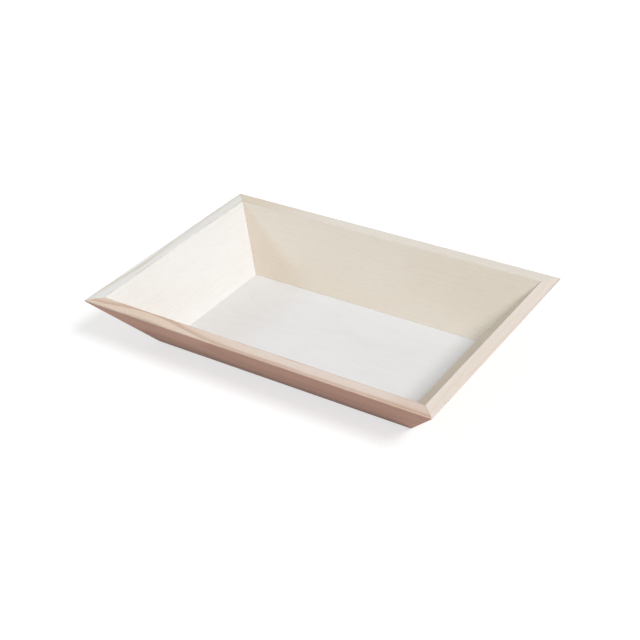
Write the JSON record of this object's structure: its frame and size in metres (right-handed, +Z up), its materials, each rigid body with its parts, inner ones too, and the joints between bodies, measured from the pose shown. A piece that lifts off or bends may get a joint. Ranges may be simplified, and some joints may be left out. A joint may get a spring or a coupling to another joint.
{
  "type": "wooden tray",
  "caption": "Shallow rectangular wooden tray with outward-leaning boards, mitred and pinned corners, a flat rim and a thin plywood bottom let into a rebate.",
  "frame": {"origin": "on the table, under the middle of the tray", "axes": "+X along the tray towards the right end, +Y towards the back side, +Z up out of the tray's mouth"},
  "size_m": [0.3, 0.2, 0.047],
  "materials": {
    "front_wood": "bare sanded wood, pinkish tan with faint growth rings",
    "back_wood": "bare sanded wood, pale beige",
    "left_wood": "bare sanded wood, pale cream",
    "right_wood": "bare sanded wood, pinkish cream",
    "bottom_plywood": "bare thin plywood, almost white",
    "pin_steel": "bright steel wire"
  },
  "bodies": {
    "root": {"front_side": "front_wood", "back_side": "back_wood", "left_end": "left_wood", "right_end": "right_wood", "bottom_panel": "bottom_plywood", "lower_pin_front_left": "pin_steel", "upper_pin_front_left": "pin_steel", "lower_pin_front_right": "pin_steel", "upper_pin_front_right": "pin_steel", "lower_pin_back_left": "pin_steel", "upper_pin_back_left": "pin_steel", "lower_pin_back_right": "pin_steel", "upper_pin_back_right": "pin_steel"}
  },
  "joints": []
}
